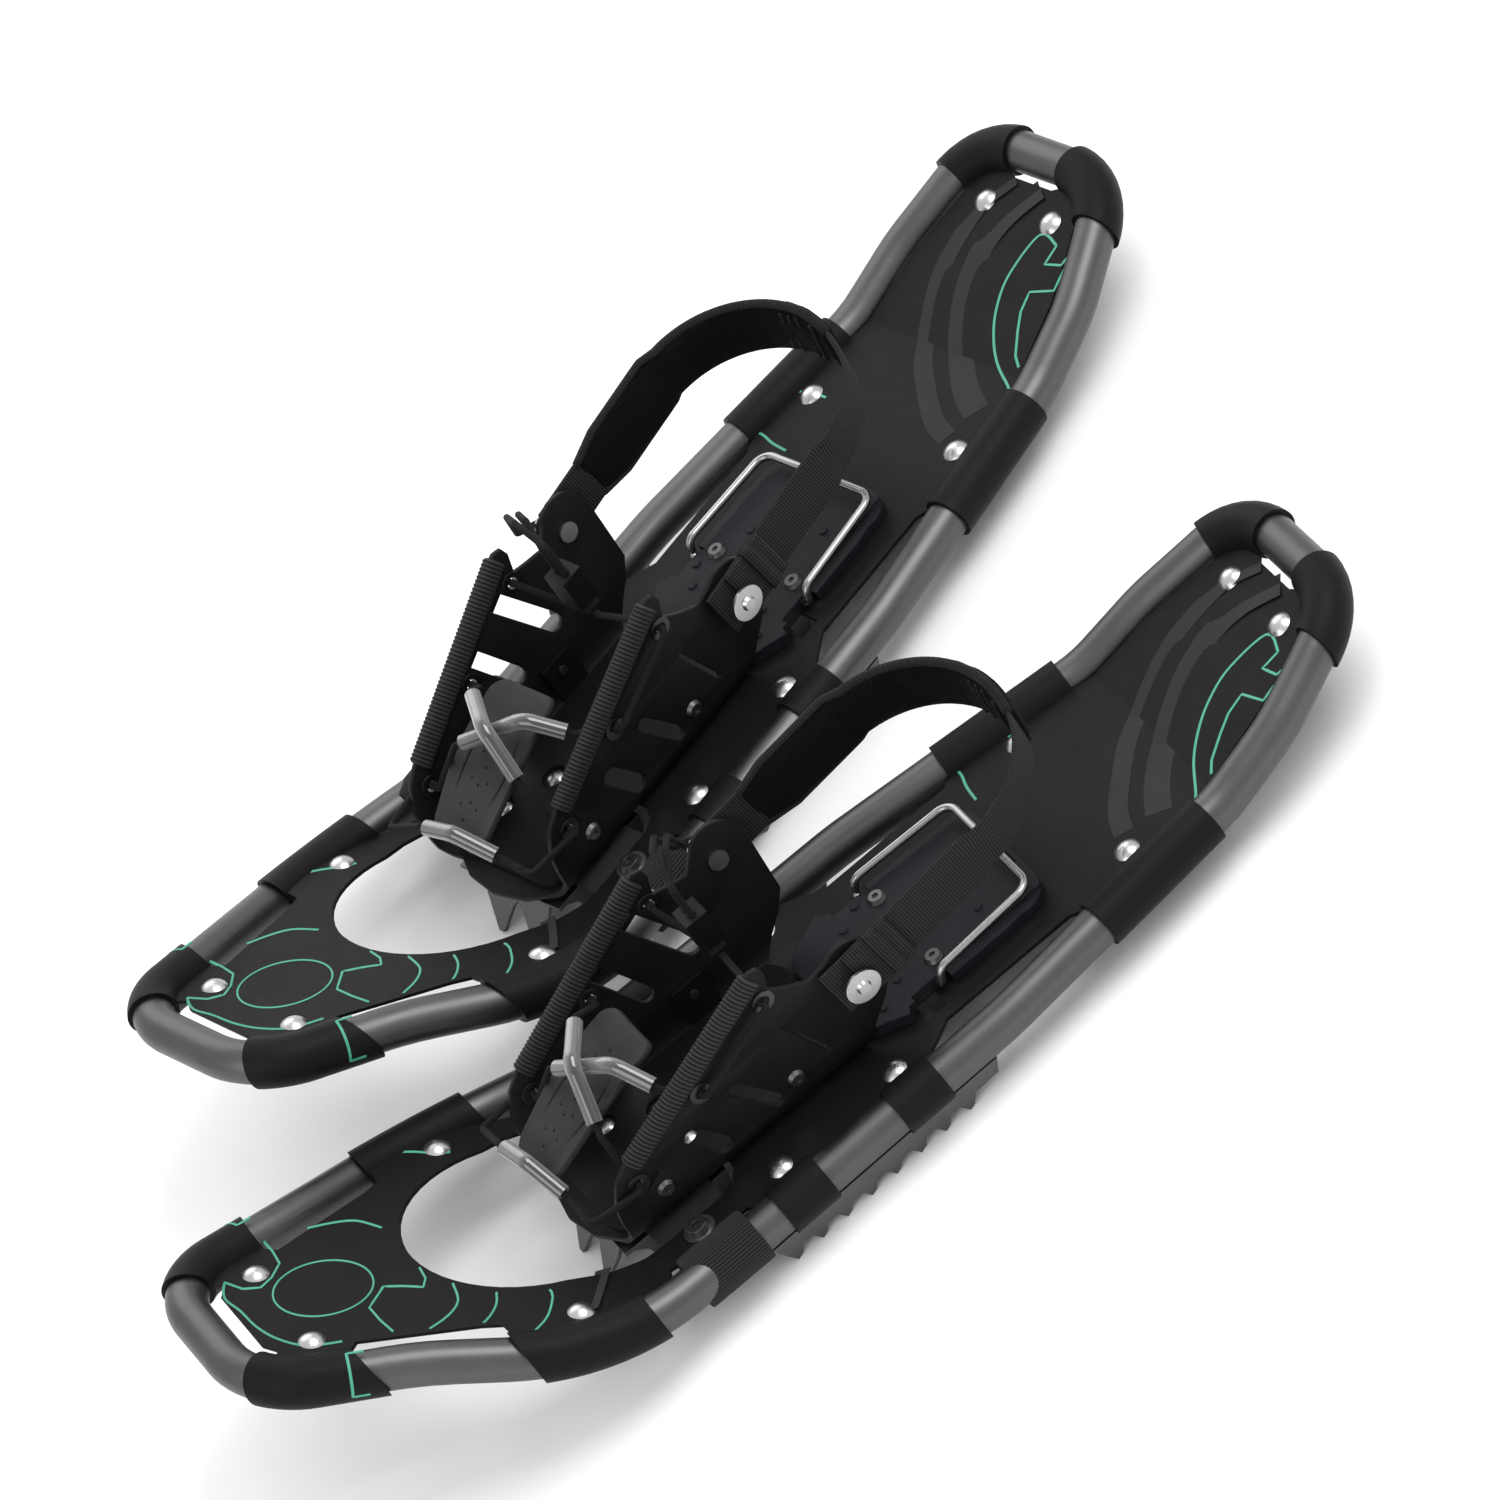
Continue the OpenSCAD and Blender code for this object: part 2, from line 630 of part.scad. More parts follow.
// One cord: up through the lock, round the pull loop, and through all the eyelets
lace_path = concat(
    [[lock_at.x, lock_at.y + leg, 62], [lock_at.x, lock_at.y + leg, 46]],
    [wing_pt(1, eyelet_at[0], sides_in), wing_pt(1, eyelet_at[0], sides_out),
     wing_pt(1, eyelet_at[1], sides_out), wing_pt(1, eyelet_at[1], sides_in)],
    near_sleeve,
    [wing_pt(-1, eyelet_at[2], sides_in), wing_pt(-1, eyelet_at[2], sides_out),
     wing_pt(-1, [137, 30], 2)],
    front_sleeve,
    [wing_pt(1, [137, 28], 2), wing_pt(1, eyelet_at[2], sides_out),
     wing_pt(1, eyelet_at[2], sides_in)],
    cross_sleeve,
    [wing_pt(-1, eyelet_at[1], sides_in), wing_pt(-1, eyelet_at[1], sides_out),
     wing_pt(-1, eyelet_at[0], sides_out), wing_pt(-1, eyelet_at[0], sides_in)],
    [[lock_at.x, lock_at.y - leg, 46], [lock_at.x, lock_at.y - leg, 87],
     [13, -34, 88], [8, -50, 80], [3, -62, 58], [-24, -68, 42], [-34, -71, 40],
     [-32, -78, 38], [-20, -76, 40], [7.5, -66, 60], [12.5, -51, 83], [17.5, -34, 92],
     [lock_at.x, lock_at.y + leg, 91], [lock_at.x, lock_at.y + leg, 62.3]]);
lace_radii = [for (i = [0:len(lace_path) - 1]) i == 7 || i == 19 ? 10 : 3];

module lace_cord() {
    color(black) bent_tube(lace_path, lace_radii, cord_d);
}

// A clear sleeve over the lace, stopping short of the corners at its ends
module sleeve(p, r) {
    bent_tube([p[0] + 0.2 * (p[1] - p[0]), p[1], p[2] + 0.12 * (p[1] - p[2])], [0, r, 0],
              sleeve_d, (sleeve_d - cord_d - 0.8) / 2);
}

module lace_sleeves() {
    color([0.8, 0.82, 0.85]) {
        sleeve(near_sleeve, 10);
        sleeve(cross_sleeve, 10);
        sleeve(front_sleeve, 3.6);
    }
}

module lock_bores() {
    for (y = [-leg, leg]) translate([lock_at.x, lock_at.y + y, 40])
        cylinder(d = cord_d + 0.5, h = 60);
}

module cord_lock_barrel() {
    color(black) difference() {
        translate([lock_at.x - 5.5, lock_at.y - 6.5, 57]) cube([11, 13, 17]);
        translate([lock_at.x - 4.1, lock_at.y - 5.1, 56]) cube([8.2, 10.2, 7.5]);
        lock_bores();
    }
}

module cord_lock_button() {
    color(steel) difference() {
        translate([lock_at.x - 4, lock_at.y - 5, 52]) cube([8, 10, 9]);
        lock_bores();
    }
}

// ---- heel strap ----

strap_r = 47.9;              // inside of the strap's bend, round the back of the heel
strap_t = 2;
strap_bend_x = -80;
strap_near_z = 43;           // at the left rivet
strap_far_z = 60;            // at the right rivet
strap_slope = 6.8;           // each side rises towards the back
strap_roll = atan2(strap_far_z - strap_near_z, 2 * strap_r);

// The strap's bent shape, grown by g on every face, with its two sides cut to length
module strap_shape(g, left_from, right_from, turn) {
    w = strap_w + 2 * g;
    t = strap_t + 2 * g;
    for (s = [-1, 1]) {
        z = s > 0 ? strap_near_z : strap_far_z;
        x = s > 0 ? left_from : right_from;
        translate([0, s * (strap_r + strap_t / 2), z]) rotate([0, strap_slope, 0])
            translate([strap_bend_x, -t / 2, -w / 2]) cube([x - strap_bend_x, t, w]);
    }
    rise = -strap_bend_x * sin(strap_slope);
    translate([strap_bend_x, 0, (strap_near_z + strap_far_z) / 2 + rise])
        rotate([-strap_roll, 0, 0]) rotate(90) rotate_extrude(angle = turn)
            translate([strap_r - g, -w / 2]) square([t, w]);
}

module strap_holes(d) {
    for (s = [-1, 1]) on_wing(s) translate(s > 0 ? strap_rivet_l : strap_rivet_r)
        cylinder(d = d, h = 60, center = true);
}

module heel_strap() {
    color(black) difference() {
        strap_shape(0, 0, 2, 180);
        strap_holes(5.6);
    }
}

// Padded sleeve over the right half of the strap
module strap_sleeve() {
    color([0.03, 0.03, 0.035]) difference() {
        intersection() {
            strap_shape(3.2, 0, 2, 180);
            translate([-140, -60, 20]) cube([112, 72, 90]);
        }
        strap_shape(0.15, 20, 20, 180);
        translate([-140, 12, 0]) cube([200, 90, 110]);
    }
}

module strap_rivets() {
    color(silver) for (s = [-1, 1]) on_wing(s)
        translate(s > 0 ? strap_rivet_l : strap_rivet_r) outward(s) {
            face = (strap_r + strap_t - cradle_y - wing_t) / cos(wing_lean);
            translate([0, 0, -wing_t - 1.2]) cylinder(d = 4.8, h = wing_t + face + 1.4);
            translate([0, 0, face]) cylinder(d = 16, h = 1.2);
            translate([0, 0, face + 1]) cylinder(d1 = 7, d2 = 5, h = 1.6);
            translate([0, 0, -wing_t - 1.5]) cylinder(d = 9, h = 1.3);
        }
}

// ---- the pair ----

middle_x = 8;                // the middle of the pair's length, ahead of both shoes' origins

module placed(side) {
    s = side == "left" ? 1 : -1;
    translate([s * pair_x - middle_x, s * pair_y, deck_h]) rotate(-s * splay) children();
}

function shown(side, part) = node == "all" || node == str(side, "_", part);

for (side = SIDES) placed(side) {
    if (shown(side, "frame_tube")) frame_tube();
    if (shown(side, "frame_splice")) frame_splice();
    if (shown(side, "deck")) deck();
    if (shown(side, "deck_rivets")) deck_rivets();
    if (shown(side, "strap_bolts")) strap_bolts();
    if (shown(side, "strap_washers")) strap_washers();
    if (shown(side, "strap_ends")) strap_ends();
    if (shown(side, "side_rails")) side_rails();
    if (shown(side, "heel_plate")) heel_plate();
    if (shown(side, "heel_screws")) heel_screws();
    if (shown(side, "heel_crampon")) heel_crampon();
    if (shown(side, "lifter_bail")) lifter_bail();
    if (shown(side, "base_plate")) base_plate();
    if (shown(side, "strap_centre")) strap_centre();
    if (shown(side, "toe_crampon")) toe_crampon();
    if (shown(side, "base_rivets")) base_rivets();
    if (shown(side, "wing_l")) wing_l();
    if (shown(side, "wing_r")) wing_r();
    if (shown(side, "wing_screws")) wing_screws();
    if (shown(side, "edge_tapes")) edge_tapes();
    if (shown(side, "eyelets")) eyelets();
    if (shown(side, "toe_pad")) toe_pad();
    if (shown(side, "lace_cord")) lace_cord();
    if (shown(side, "lace_sleeves")) lace_sleeves();
    if (shown(side, "cord_lock_barrel")) cord_lock_barrel();
    if (shown(side, "cord_lock_button")) cord_lock_button();
    if (shown(side, "heel_strap")) heel_strap();
    if (shown(side, "strap_sleeve")) strap_sleeve();
    if (shown(side, "strap_rivets")) strap_rivets();
}
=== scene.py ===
"""Looks for a pair of tube-frame snowshoes: soft goods, printed deck lines, materials, studio."""
import json
import math

import bmesh
import bpy
from mathutils import Matrix, Vector


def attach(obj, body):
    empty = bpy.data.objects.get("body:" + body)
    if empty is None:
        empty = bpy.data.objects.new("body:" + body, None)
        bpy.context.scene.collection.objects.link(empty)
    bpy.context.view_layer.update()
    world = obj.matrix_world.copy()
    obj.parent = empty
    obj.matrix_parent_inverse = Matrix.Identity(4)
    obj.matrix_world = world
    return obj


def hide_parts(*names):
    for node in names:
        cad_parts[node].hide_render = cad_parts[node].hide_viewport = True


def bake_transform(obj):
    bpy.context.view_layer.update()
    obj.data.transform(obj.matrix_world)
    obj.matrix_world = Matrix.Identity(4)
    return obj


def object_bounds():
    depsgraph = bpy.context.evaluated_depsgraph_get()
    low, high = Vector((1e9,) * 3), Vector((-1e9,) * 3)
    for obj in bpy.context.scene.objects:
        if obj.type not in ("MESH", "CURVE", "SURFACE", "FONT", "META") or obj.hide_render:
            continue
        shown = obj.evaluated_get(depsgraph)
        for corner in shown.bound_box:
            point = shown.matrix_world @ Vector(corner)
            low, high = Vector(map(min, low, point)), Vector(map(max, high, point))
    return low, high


MM = 0.001
SIDES = ("left", "right")

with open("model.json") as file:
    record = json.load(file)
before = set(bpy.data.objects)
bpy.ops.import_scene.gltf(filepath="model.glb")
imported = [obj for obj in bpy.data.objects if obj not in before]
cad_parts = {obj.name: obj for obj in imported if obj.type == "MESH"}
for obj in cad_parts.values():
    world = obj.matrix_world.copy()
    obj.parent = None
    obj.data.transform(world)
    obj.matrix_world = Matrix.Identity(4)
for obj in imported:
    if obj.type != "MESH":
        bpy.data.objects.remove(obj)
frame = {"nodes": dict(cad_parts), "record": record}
cad_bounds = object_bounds()
nodes = frame["nodes"]
record = frame["record"]
joints = {j["name"]: j for j in record["behaviour"]["joints"]}

# ---- where each shoe lies ----

PIVOT = Vector((101, 0, -3.4))       # the toe strap's pivot, in a shoe's own millimetres


def shoe_matrix(side):
    """A shoe's own frame (x to the nose, y to its left, z = 0 on the deck, mm) into metres."""
    pivot = joints[side + "_binding_pivot"]
    y_axis = Vector(pivot["axis"]).normalized()
    x_axis = y_axis.cross(Vector((0, 0, 1)))
    turn = Matrix((x_axis, y_axis, (0, 0, 1))).transposed().to_4x4()
    at = Vector(pivot["pos_m"])
    return Matrix.Translation(at) @ turn @ Matrix.Scale(MM, 4) @ Matrix.Translation(-PIVOT)


SHOE = {side: shoe_matrix(side) for side in SIDES}


# ---- node materials ----

class Shader:
    """A few short names over a material's node tree."""

    def __init__(self, name, coords="Object"):
        self.material = bpy.data.materials.new(name)
        self.material.use_nodes = True
        self.tree = self.material.node_tree
        self.bsdf = self.tree.nodes["Principled BSDF"]
        self.coords = self.node("ShaderNodeTexCoord").outputs[coords]

    def node(self, kind, **settings):
        made = self.tree.nodes.new(kind)
        for key, value in settings.items():
            setattr(made, key, value)
        return made

    def put(self, value, socket):
        if isinstance(value, bpy.types.NodeSocket):
            self.tree.links.new(value, socket)
        else:
            socket.default_value = value

    def noise(self, scale, detail=3.0, rough=0.55):
        made = self.node("ShaderNodeTexNoise")
        self.put(self.coords, made.inputs["Vector"])
        self.put(scale, made.inputs["Scale"])
        self.put(detail, made.inputs["Detail"])
        self.put(rough, made.inputs["Roughness"])
        return made.outputs["Fac"]

    def wave(self, scale, direction, distortion=0.0):
        made = self.node("ShaderNodeTexWave", bands_direction=direction)
        self.put(self.coords, made.inputs["Vector"])
        self.put(scale, made.inputs["Scale"])
        self.put(distortion, made.inputs["Distortion"])
        return made.outputs["Fac"]

    def math(self, operation, a, b=0.0):
        made = self.node("ShaderNodeMath", operation=operation)
        self.put(a, made.inputs[0])
        self.put(b, made.inputs[1])
        return made.outputs[0]

    def remap(self, value, low, high):
        made = self.node("ShaderNodeMapRange")
        self.put(value, made.inputs["Value"])
        made.inputs["To Min"].default_value = low
        made.inputs["To Max"].default_value = high
        return made.outputs["Result"]

    def mix(self, factor, a, b):
        made = self.node("ShaderNodeMix", data_type="RGBA")
        self.put(factor, made.inputs[0])
        self.put(a, made.inputs[6])
        self.put(b, made.inputs[7])
        return made.outputs[2]

    def finish(self, colour, rough, metal=0.0, height=None, depth=0.0001, edge=0.0, **more):
        """Wires colour, roughness, a bump of the given depth in metres and softened edges."""
        self.put(colour, self.bsdf.inputs["Base Color"])
        self.put(rough, self.bsdf.inputs["Roughness"])
        self.put(metal, self.bsdf.inputs["Metallic"])
        for key, value in more.items():
            self.put(value, self.bsdf.inputs[key.replace("_", " ")])
        normal = None
        if edge:
            bevel = self.node("ShaderNodeBevel", samples=4)
            bevel.inputs["Radius"].default_value = edge
            normal = bevel.outputs[0]
        if height is not None:
            bump = self.node("ShaderNodeBump")
            self.put(height, bump.inputs["Height"])
            bump.inputs["Distance"].default_value = depth
            if normal:
                self.put(normal, bump.inputs["Normal"])
            normal = bump.outputs[0]
        if normal:
            self.put(normal, self.bsdf.inputs["Normal"])
        return self.material


def grey(value):
    return (value, value, value, 1)


def metal(name, dark, light, rough, edge=0.0004, grain=900):
    s = Shader(name)
    patch = s.noise(60)
    colour = s.mix(s.remap(patch, 0.2, 0.8), dark, light)
    fine = s.noise(grain)
    return s.finish(colour, s.remap(patch, rough - 0.05, rough + 0.08), metal=1.0, height=fine,
                    depth=0.000008, edge=edge)


def sheet(name, dark, light, rough, grain=1400, depth=0.00008, edge=0.0005, specular=0.4):
    """Coated fabric or moulded plastic with a fine grain and broad cloudy wear."""
    s = Shader(name)
    colour = s.mix(s.remap(s.noise(25, 5), 0.1, 0.9), dark, light)
    return s.finish(colour, s.remap(s.noise(80), rough - 0.07, rough + 0.07),
                    height=s.noise(grain, 2), depth=depth, edge=edge,
                    Specular_IOR_Level=specular)


BAND_RATE = 0.314        # wave texture scale times the pitch that it gives, in metres


def ribbed(name, dark, light, pitch, rough=0.75, depth=0.0003, specular=0.08):
    """Ribs across the length of a sweep, with finer threads along it; the colour follows their
    height, a painted highlight on the rib tops and painted shade in the grooves.
    """
    s = Shader(name, "UV")
    ribs = s.wave(BAND_RATE / pitch, "X", 0.4)
    threads = s.wave(BAND_RATE / (pitch * 0.6), "Y", 0.6)
    height = s.math("ADD", ribs, s.math("MULTIPLY", threads, 0.35))
    # painted highlight and shade: the colour is lighter on rib tops and darker in the grooves
    colour = s.mix(s.remap(height, -0.2, 0.9), dark, light)
    return s.finish(colour, rough, height=height, depth=depth, Specular_IOR_Level=specular,
                    Sheen_Weight=0.04)


def weave(name, dark, light, pitch, rough=0.75, depth=0.0002):
    """Plain weave: two crossed sets of ridges that take turns on top; the colour follows their
    height, a painted highlight on the raised threads and painted shade between them, with fine
    random tone.
    """
    s = Shader(name)
    rate = BAND_RATE / pitch
    across = s.wave(rate, "X")
    along = s.wave(rate, "Y")
    up = s.wave(rate, "Z")
    ridges = s.math("MAXIMUM", s.math("MULTIPLY", across, along), up)
    height = s.math("ADD", ridges, s.math("MULTIPLY", s.noise(2500), 0.5))
    # painted highlight and shade from the ridge height, plus fine random tone from the noise
    colour = s.mix(s.remap(height, 0.0, 0.8), dark, light)
    return s.finish(colour, rough, height=height, depth=depth, Specular_IOR_Level=0.07,
                    Sheen_Weight=0.02)


def clear_tube(name):
    """Clear sleeve round a black cord: dark down its middle, with a painted highlight along both
    edges, where the surface turns away from view.
    """
    s = Shader(name)
    rim = s.node("ShaderNodeLayerWeight")
    rim.inputs["Blend"].default_value = 0.3
    haze = s.noise(300)
    # painted highlight: the colour grows lighter towards the sleeve's edges as seen from the camera
    painted_edge_highlight = s.math("MULTIPLY", rim.outputs["Facing"], s.remap(haze, 0.75, 1.0))
    colour = s.mix(painted_edge_highlight, (0.012, 0.012, 0.013, 1), (0.6, 0.62, 0.64, 1))
    return s.finish(colour, s.remap(haze, 0.06, 0.14), Specular_IOR_Level=0.8, IOR=1.5,
                    Coat_Weight=0.6, Coat_Roughness=0.05)


MATERIALS = {
    "tube": metal("tube_satin", grey(0.085), grey(0.125), 0.4, edge=0.0),
    "deck": sheet("deck_coated", grey(0.004), grey(0.008), 0.5, grain=1800, specular=0.1),
    "rivets": metal("rivet_polished", grey(0.42), grey(0.6), 0.28, edge=0.0),
    "dark_steel": metal("steel_dark", grey(0.08), grey(0.14), 0.4),
    "webbing": ribbed("webbing_black", grey(0.004), grey(0.03), 0.0013),
    "heel_plastic": sheet("heel_plastic", (0.006, 0.0057, 0.008, 1), (0.013, 0.0125, 0.017, 1),
                          0.5, grain=2600, depth=0.00012, edge=0.001, specular=0.14),
    "bail_wire": metal("bail_wire", grey(0.28), grey(0.42), 0.25, edge=0.0),
    "black_plastic": sheet("plastic_black", grey(0.003), grey(0.007), 0.45, edge=0.0008,
                           specular=0.14),
    "wing_sheet": sheet("wing_sheet", grey(0.004), grey(0.01), 0.46, grain=2400, depth=0.00012,
                        edge=0.0006, specular=0.13),
    "eyelet": metal("eyelet_dark", grey(0.05), grey(0.1), 0.35),
    "pad_rubber": sheet("pad_rubber", grey(0.02), grey(0.038), 0.6, grain=1500, depth=0.0003,
                        edge=0.0008, specular=0.16),
    "cord": weave("cord_braid", grey(0.003), grey(0.014), 0.0009, depth=0.00015),
    "clear_sleeve": clear_tube("sleeve_clear"),
    "gloss_button": sheet("button_gloss", grey(0.01), grey(0.03), 0.25, edge=0.001),
    "tape": ribbed("tape_ribbed", grey(0.002), grey(0.045), 0.0018, rough=0.6, depth=0.0004),
    "thread": sheet("thread_grey", grey(0.02), grey(0.05), 0.6, edge=0.0),
    "teal": sheet("print_teal", (0.045, 0.27, 0.19, 1), (0.06, 0.34, 0.24, 1), 0.5, edge=0.0),
    "grey_print": sheet("print_grey", grey(0.018), grey(0.028), 0.6, grain=900, edge=0.0,
                        specular=0.12),
    "padding": weave("padding_knit", grey(0.0008), grey(0.004), 0.0016, rough=0.9),
    "piping": ribbed("piping_black", grey(0.004), grey(0.02), 0.0012),
}

# every CAD node wears the material of its slot
slot_of = {entry["node"]: entry["material_slot"] for entry in record["subparts"]}
for name, obj in nodes.items():
    obj.data.materials.clear()
    obj.data.materials.append(MATERIALS[slot_of[name]])


# ---- building pieces ----

def piece(side, name, verts, faces, look, body, replaces=(), smooth=True, lengths=None):
    """A mesh drawn in the shoe's own millimetres, put in place and hung on a body."""
    data = bpy.data.meshes.new(f"{side}_{name}")
    data.from_pydata([SHOE[side] @ Vector(v) for v in verts], [], faces)
    data.validate()
    if lengths:
        layer = data.uv_layers.new(name="lengths")
        for loop in data.loops:
            layer.data[loop.index].uv = lengths[loop.vertex_index]
    obj = bpy.data.objects.new(f"{side}_{name}", data)
    bpy.context.collection.objects.link(obj)
    made = bmesh.new()
    made.from_mesh(data)
    bmesh.ops.recalc_face_normals(made, faces=made.faces)
    made.to_mesh(data)
    made.free()
    for polygon in data.polygons:
        polygon.use_smooth = smooth
    data.materials.append(MATERIALS[look])
    if body:
        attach(obj, f"{side}_{body}")
    if replaces:
        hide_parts(*(f"{side}_{node}" for node in replaces))
    return obj


def sweep(stations):
    """Closed skin through rings of equal length, with flat caps; a ring is a list of points."""
    count = len(stations[0])
    verts = [p for ring in stations for p in ring]
    faces = []
    for i in range(len(stations) - 1):
        a, b = i * count, (i + 1) * count
        for k in range(count):
            n = (k + 1) % count
            faces.append((a + k, a + n, b + n, b + k))
    faces.append(tuple(reversed(range(count))))
    faces.append(tuple(range(len(verts) - count, len(verts))))
    return verts, faces


def lengths_of(rings):
    """Each vertex's distance along a sweep and round it, in metres."""
    places = []
    travelled = 0.0
    last = None
    for ring in rings:
        ring = [Vector(p) for p in ring]
        middle = sum(ring, Vector()) / len(ring)
        travelled += (middle - last).length * MM if last else 0.0
        last = middle
        round_it = 0.0
        for k, p in enumerate(ring):
            round_it += (p - ring[k - 1]).length * MM if k else 0.0
            places.append((travelled, round_it))
    return places


def swept(side, name, rings, look, body, replaces=(), smooth=True):
    verts, faces = sweep(rings)
    return piece(side, name, verts, faces, look, body, replaces, smooth, lengths_of(rings))


def oval(width, thick, power=4.0, count=20):
    """A rounded-rectangle section as (across, out) pairs."""
    ring = []
    for k in range(count):
        t = 2 * math.pi * k / count
        c, s = math.cos(t), math.sin(t)
        ring.append((width / 2 * math.copysign(abs(c) ** (2 / power), c),
                     thick / 2 * math.copysign(abs(s) ** (2 / power), s)))
    return ring


def along(centres, acrosses, section):
    """Rings of a section carried along a line; across is the direction of the section's width."""
    rings = []
    for i, centre in enumerate(centres):
        ahead = centres[min(i + 1, len(centres) - 1)] - centres[max(i - 1, 0)]
        across = (acrosses[i] - acrosses[i].project(ahead)).normalized()
        out = ahead.cross(across).normalized()
        shape = section(i) if callable(section) else section
        rings.append([centre + across * u + out * v for u, v in shape])
    return rings


def arc2(cx, cy, r, start, end, steps):
    return [(cx + r * math.cos(math.radians(start + (end - start) * i / steps)),
             cy + r * math.sin(math.radians(start + (end - start) * i / steps)))
            for i in range(steps + 1)]


def flat_pattern(outline, holes, half_thick, edge=0.35):
    """A flat sheet with holes and rounded edges, as a bmesh in its own x, y."""
    curve = bpy.data.curves.new("pattern", "CURVE")
    curve.dimensions = "2D"
    curve.fill_mode = "BOTH"
    curve.extrude = half_thick - edge
    curve.bevel_depth = edge
    curve.bevel_resolution = 1
    for loop in [outline] + holes:
        spline = curve.splines.new("POLY")
        spline.points.add(len(loop) - 1)
        for point, (x, y) in zip(spline.points, loop):
            point.co = (x, y, 0, 1)
        spline.use_cyclic_u = True
    holder = bpy.data.objects.new("pattern", curve)
    bpy.context.collection.objects.link(holder)
    mesh = bpy.data.meshes.new_from_object(holder)
    bpy.data.objects.remove(holder)
    made = bmesh.new()
    made.from_mesh(mesh)
    bmesh.ops.remove_doubles(made, verts=made.verts, dist=0.001)
    return made


def crease_lines(made, axis, places):
    """Cuts a flat pattern across at each place, so that it can bend there."""
    normal = Vector((1, 0, 0)) if axis == 0 else Vector((0, 1, 0))
    for place in places:
        bmesh.ops.bisect_plane(made, geom=made.verts[:] + made.edges[:] + made.faces[:],
                               plane_co=normal * place, plane_no=normal)


SHARP_ANGLE = math.radians(40)       # a steeper edge than this keeps a crisp line


def from_pattern(side, name, made, shape, look, body, replaces=()):
    """Folds a flat pattern by shape(x, y, lift) and hands it over as a piece."""
    verts = [shape(*v.co) for v in made.verts]
    made.verts.index_update()
    faces = [tuple(v.index for v in f.verts) for f in made.faces]
    obj = piece(side, name, verts, faces, look, body, replaces)
    obj.data.shade_smooth()
    obj.data.set_sharp_from_angle(angle=SHARP_ANGLE)


# ---- cradle: one sheet that is folded up into both wings ----

WING_T = 2.6
LEAN = math.radians(5)
PLATE_Z = 1.2                        # top of the foot plate
WING_Y = 38.4 + WING_T / 2           # middle of a wing's thickness at the plate's height
FOLD_R = 12.0
FLOOR_Z = -0.25                      # middle of the sheet's thickness under the foot plate
FOLD = math.pi / 2 - LEAN
FOLD_TOP = FLOOR_Z + FOLD_R * (1 - math.cos(FOLD))
FLOOR_HALF = WING_Y + (FOLD_TOP - PLATE_Z) * math.tan(LEAN) - FOLD_R * math.sin(FOLD)
WING_START = FLOOR_HALF + FOLD_R * FOLD          # girth at which a wing becomes flat
WING_SHIFT = 3.5                     # right wing stands ahead, left wing back
LACE_EYES = ((27.5, 64), (70, 46.5), (112, 29))
EYE_D = 7.0
TAB_RISE = {1: 0, -1: 16}            # the right wing's rear tab stands this much higher


def girth(height):
    """Distance from the sheet's centre line to a height in a wing's flat drawing."""
    z = PLATE_Z + (height - PLATE_Z) * math.cos(LEAN)
    return WING_START + (z - FOLD_TOP) / math.sin(FOLD)


def cradle(x, girth_y, lift):
    """Folds the flat sheet into a U. Lift is towards the inside."""
    s = math.copysign(1, girth_y)
    g = abs(girth_y)
    if g <= FLOOR_HALF:
        y, z, n_y, n_z = g, FLOOR_Z, 0.0, 1.0
    else:
        turn = min((g - FLOOR_HALF) / FOLD_R, FOLD)
        rest = max(g - WING_START, 0.0)
        y = FLOOR_HALF + FOLD_R * math.sin(turn) + rest * math.cos(FOLD)
        z = FLOOR_Z + FOLD_R * (1 - math.cos(turn)) + rest * math.sin(FOLD)
        n_y, n_z = -math.sin(turn), math.cos(turn)
    return (x, s * (y + n_y * lift), z + n_z * lift)


def on_wing(s, x, height, out=0.0):
    """A place on a wing's flat drawing; out is measured outward from the sheet's middle."""
    return Vector(cradle(x - s * WING_SHIFT, s * girth(height), -out))


def wing_edge(s):
    """A wing's outline from the front foot of the sheet round to the rear one."""
    rise = TAB_RISE[s]
    front = [(127, 5), (126.5, 16), (125, 25), (119, 36), (112, 41)]
    back = [(26, 80), (22, 79), (21, 75), (24, 66), (17, 60 + rise / 4), (8, 54 + rise / 2)]
    tab = arc2(-9, 46 + rise, 13, 50, 200, 10)
    down = [(-19, 28), (-13, 20), (-5, 13), (3, 4)]
    return [(x - s * WING_SHIFT, s * girth(h)) for x, h in front + back + tab + down]


def slot_loop(s, a, b, width):
    """A round-ended slot from a to b on a wing's flat drawing."""
    turn = math.degrees(math.atan2(b[1] - a[1], b[0] - a[0]))
    loop = arc2(*b, width / 2, turn - 90, turn + 90, 8)
    loop += arc2(*a, width / 2, turn + 90, turn + 270, 8)
    return [(x - s * WING_SHIFT, s * girth(h)) for x, h in loop]


SLOTS = {1: (((27, 44), (18, 18), 2.6), ((58, 34), (47, 14), 7), ((83, 29), (75, 14), 9),
             ((103, 27), (110, 24), 4)),
         -1: (((40, 66), (24, 34), 9), ((63, 56), (51, 30), 8), ((84, 30), (76, 14), 8))}


def build_cradle(side):
    """Both wings and the sheet that joins them under the foot plate."""
    toe = [(128, -FLOOR_HALF), (134, -18), (137, 0), (134, 18), (128, FLOOR_HALF)]
    heel = [(6, 20), (4, 0), (6, -20)]
    outline = toe + wing_edge(1) + heel + list(reversed(wing_edge(-1)))
    holes = []
    for s in (1, -1):
        holes += [slot_loop(s, *cut) for cut in SLOTS[s]]
        holes += [slot_loop(s, (x - 0.01, h), (x, h), EYE_D) for x, h in LACE_EYES]
    made = flat_pattern(outline, holes, WING_T / 2)
    folds = [FLOOR_HALF + FOLD_R * FOLD * i / 7 for i in range(8)]
    crease_lines(made, 1, [s * f for f in folds for s in (1, -1)])
    from_pattern(side, "cradle", made, cradle, "wing_sheet", "binding", ("wing_l", "wing_r"))


# ---- ribbed tape rolled over each lacing edge ----

